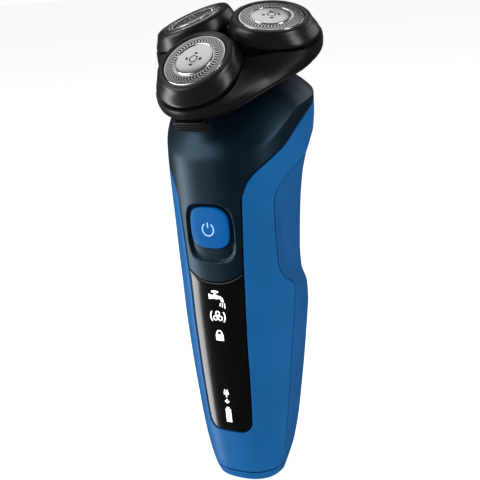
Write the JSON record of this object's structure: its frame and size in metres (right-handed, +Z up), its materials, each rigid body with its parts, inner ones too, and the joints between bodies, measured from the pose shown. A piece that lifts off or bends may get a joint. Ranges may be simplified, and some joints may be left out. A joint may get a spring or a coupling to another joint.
{
  "type": "rotary electric shaver",
  "caption": "Upright rotary shaver: tapered handle with key and display window, and a tilted flip-open head with sprung, domed, slotted cutting units.",
  "frame": {"origin": "on the flat underside of the foot, in the handle's plane of symmetry", "axes": "+Z up along the handle, -Y the way the display faces, +X to the right of someone facing the back"},
  "size_m": [0.0586, 0.0552, 0.1598],
  "materials": {
    "blue_shell": "satin blue moulding",
    "navy_panel": "satin navy moulding",
    "black_lens": "polished black lens",
    "circuit_board": "green solder mask",
    "blue_grip": "matt blue overmould",
    "black_plastic": "satin black moulding",
    "plated_pin": "plated",
    "screw_steel": "plain steel",
    "cell_can": "wrapped can",
    "motor_steel": "drawn can",
    "blue_button": "satin blue key",
    "grey_plastic": "dark grey moulding",
    "guard_steel": "bright, fine slotted",
    "cutter_steel": "ground",
    "gear_plastic": "natural acetal"
  },
  "bodies": {
    "handle": {"body_shell": "blue_shell", "front_panel": "navy_panel", "display_window": "black_lens", "display_board": "circuit_board", "rear_grip": "blue_grip", "base_cap": "blue_shell", "charge_socket": "black_plastic", "charge_pin_left": "plated_pin", "charge_pin_right": "plated_pin", "foot_screw_left": "screw_steel", "foot_screw_right": "screw_steel", "battery": "cell_can", "main_board": "circuit_board", "switch_dome": "screw_steel", "motor": "motor_steel", "motor_frame": "black_plastic", "head_base": "black_plastic", "hinge_pin": "screw_steel"},
    "power_key": {"power_button": "blue_button"},
    "release_key": {"release_button": "grey_plastic"},
    "lid": {"head_lid": "black_plastic"},
    "drive": {"central_gear": "gear_plastic", "drive_shaft": "motor_steel"},
    "pod_a": {"pod_ring_a": "black_plastic", "guard_a": "guard_steel", "retainer_a": "grey_plastic"},
    "cutter_a": {"cutter_a": "cutter_steel"},
    "gear_a": {"drive_gear_a": "gear_plastic", "spindle_a": "gear_plastic"},
    "pod_b": {"pod_ring_b": "black_plastic", "guard_b": "guard_steel", "retainer_b": "grey_plastic"},
    "cutter_b": {"cutter_b": "cutter_steel"},
    "gear_b": {"drive_gear_b": "gear_plastic", "spindle_b": "gear_plastic"},
    "pod_c": {"pod_ring_c": "black_plastic", "guard_c": "guard_steel", "retainer_c": "grey_plastic"},
    "cutter_c": {"cutter_c": "cutter_steel"},
    "gear_c": {"drive_gear_c": "gear_plastic", "spindle_c": "gear_plastic"}
  },
  "joints": [
    {"name": "power_press", "type": "slide", "parent": "handle", "child": "power_key", "axis": [0, 1, 0], "range_m": [0, 0.0008], "stiffness_N_per_m": 800},
    {"name": "release_press", "type": "slide", "parent": "handle", "child": "release_key", "axis": [0, 0.9027, 0.4304], "range_m": [0, 0.0007], "stiffness_N_per_m": 800},
    {"name": "lid_hinge", "type": "hinge", "parent": "handle", "child": "lid", "pos_m": [0, 0.02173, 0.15008], "axis": [-1, 0, 0], "range_deg": [0, 95]},
    {"name": "pod_a_tilt", "type": "hinge", "parent": "lid", "child": "pod_a", "pos_m": [0, -0.01575, 0.13931], "axis": [1, 0, 0], "range_deg": [-2.5, 2.5], "stiffness_Nm_per_rad": 0.3},
    {"name": "cutter_a_spin", "type": "hinge", "parent": "pod_a", "child": "cutter_a", "pos_m": [0, -0.01994, 0.14429], "axis": [0, -0.6435, 0.7655], "continuous": true},
    {"name": "gear_a_spin", "type": "hinge", "parent": "handle", "child": "gear_a", "pos_m": [0, -0.0133, 0.13416], "axis": [0, -0.4304, 0.9027], "continuous": true},
    {"name": "pod_b_tilt", "type": "hinge", "parent": "lid", "child": "pod_b", "pos_m": [-0.01349, 0.00533, 0.14936], "axis": [-0.5, -0.7817, -0.3727], "range_deg": [-2.5, 2.5], "stiffness_Nm_per_rad": 0.3},
    {"name": "cutter_b_spin", "type": "hinge", "parent": "pod_b", "child": "cutter_b", "pos_m": [-0.0149, 0.00336, 0.15539], "axis": [-0.2177, -0.3031, 0.9278], "continuous": true},
    {"name": "gear_b_spin", "type": "hinge", "parent": "handle", "child": "gear_b", "pos_m": [-0.01349, 0.00779, 0.14421], "axis": [0, -0.4304, 0.9027], "continuous": true},
    {"name": "pod_c_tilt", "type": "hinge", "parent": "lid", "child": "pod_c", "pos_m": [0.01349, 0.00533, 0.14936], "axis": [-0.5, 0.7817, 0.3727], "range_deg": [-2.5, 2.5], "stiffness_Nm_per_rad": 0.3},
    {"name": "cutter_c_spin", "type": "hinge", "parent": "pod_c", "child": "cutter_c", "pos_m": [0.0149, 0.00336, 0.15539], "axis": [0.2177, -0.3031, 0.9278], "continuous": true},
    {"name": "gear_c_spin", "type": "hinge", "parent": "handle", "child": "gear_c", "pos_m": [0.01349, 0.00779, 0.14421], "axis": [0, -0.4304, 0.9027], "continuous": true},
    {"name": "drive_spin", "type": "hinge", "parent": "handle", "child": "drive", "pos_m": [0, 0.00076, 0.14086], "axis": [0, -0.4304, 0.9027], "continuous": true}
  ],
  "couplings": [
    {"joint": "gear_a_spin", "follows": "cutter_a_spin", "ratio": 1},
    {"joint": "cutter_b_spin", "follows": "cutter_a_spin", "ratio": 1},
    {"joint": "gear_b_spin", "follows": "cutter_a_spin", "ratio": 1},
    {"joint": "cutter_c_spin", "follows": "cutter_a_spin", "ratio": 1},
    {"joint": "gear_c_spin", "follows": "cutter_a_spin", "ratio": 1},
    {"joint": "drive_spin", "follows": "cutter_a_spin", "ratio": -0.83333}
  ]
}
